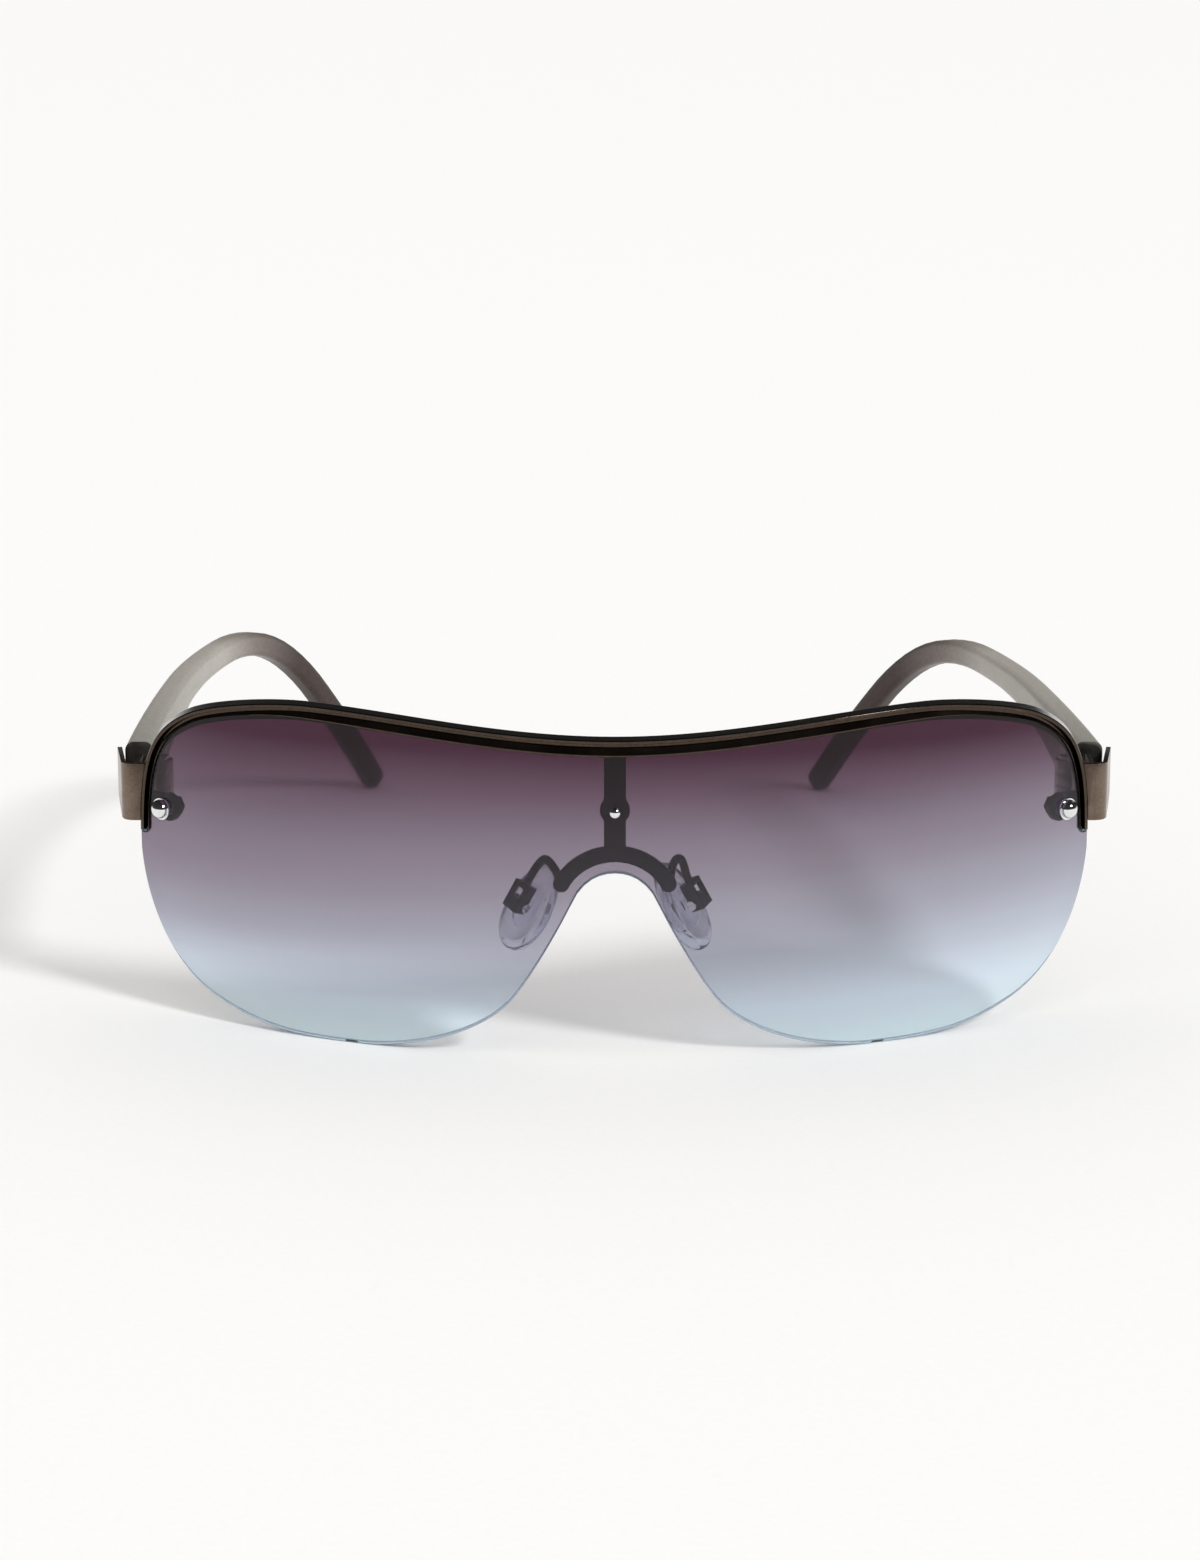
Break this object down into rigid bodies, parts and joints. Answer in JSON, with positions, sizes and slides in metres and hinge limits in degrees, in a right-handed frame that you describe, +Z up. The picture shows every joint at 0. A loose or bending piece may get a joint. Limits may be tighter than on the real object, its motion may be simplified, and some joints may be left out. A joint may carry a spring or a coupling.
{
  "type": "shield sunglasses",
  "caption": "Wraparound sunglasses with a single-piece tinted lens under a metal brow bar, two nose pads that rock and two temples that fold.",
  "frame": {"origin": "on the table under the middle of the part's bounding box: midway between the lens's front and the temples' back, on the plane of symmetry of the front", "axes": "+X towards the temple on the right of a front view, +Y from the lens back along the temples, +Z up"},
  "size_m": [0.1472, 0.161, 0.049],
  "materials": {
    "lens": "gloss gradient tint",
    "bar": "gloss gunmetal",
    "bracket": "satin black",
    "hinge": "satin dark",
    "chrome": "polished",
    "clear": "clear",
    "pad": "clear silicone",
    "temple": "gloss grey to brown"
  },
  "bodies": {
    "front": {"lens": "lens", "brow_bar": "bar", "bridge_bracket": "bracket", "bridge_rivet": "chrome", "bridge_washer": "bracket", "end_piece_left": "bar", "end_piece_right": "bar", "side_stud_left": "chrome", "side_stud_right": "chrome", "stud_washer_left": "chrome", "stud_washer_right": "chrome", "lens_sleeve_left": "clear", "lens_sleeve_right": "clear", "stud_nut_left": "bracket", "stud_nut_right": "bracket", "pad_arm_left": "bracket", "pad_arm_right": "bracket", "pad_box_left": "bracket", "pad_box_right": "bracket", "pad_screw_left": "chrome", "pad_screw_right": "chrome", "front_hinge_left": "hinge", "front_hinge_right": "hinge", "hinge_screw_left": "chrome", "hinge_screw_right": "chrome"},
    "temple_left": {"temple_left": "temple", "rear_hinge_left": "hinge", "hinge_rivets_left": "chrome"},
    "temple_right": {"temple_right": "temple", "rear_hinge_right": "hinge", "hinge_rivets_right": "chrome"},
    "pad_left": {"nose_pad_left": "pad", "pad_insert_left": "clear"},
    "pad_right": {"nose_pad_right": "pad", "pad_insert_right": "clear"}
  },
  "joints": [
    {"name": "temple_left_fold", "type": "hinge", "parent": "front", "child": "temple_left", "pos_m": [-0.0664, -0.04386, 0.03207], "axis": [0, 0, -1], "range_deg": [0, 84]},
    {"name": "temple_right_fold", "type": "hinge", "parent": "front", "child": "temple_right", "pos_m": [0.0664, -0.04386, 0.03207], "axis": [0, 0, 1], "range_deg": [-2.7, 74.3]},
    {"name": "nose_pad_left_rock", "type": "hinge", "parent": "front", "child": "pad_left", "pos_m": [-0.01368, -0.07297, 0.02106], "axis": [-0.6351, 0.6947, 0.3377], "range_deg": [-12, 12]},
    {"name": "nose_pad_right_rock", "type": "hinge", "parent": "front", "child": "pad_right", "pos_m": [0.01166, -0.07243, 0.02126], "axis": [0.4679, 0.848, 0.2488], "range_deg": [-12, 12]}
  ]
}
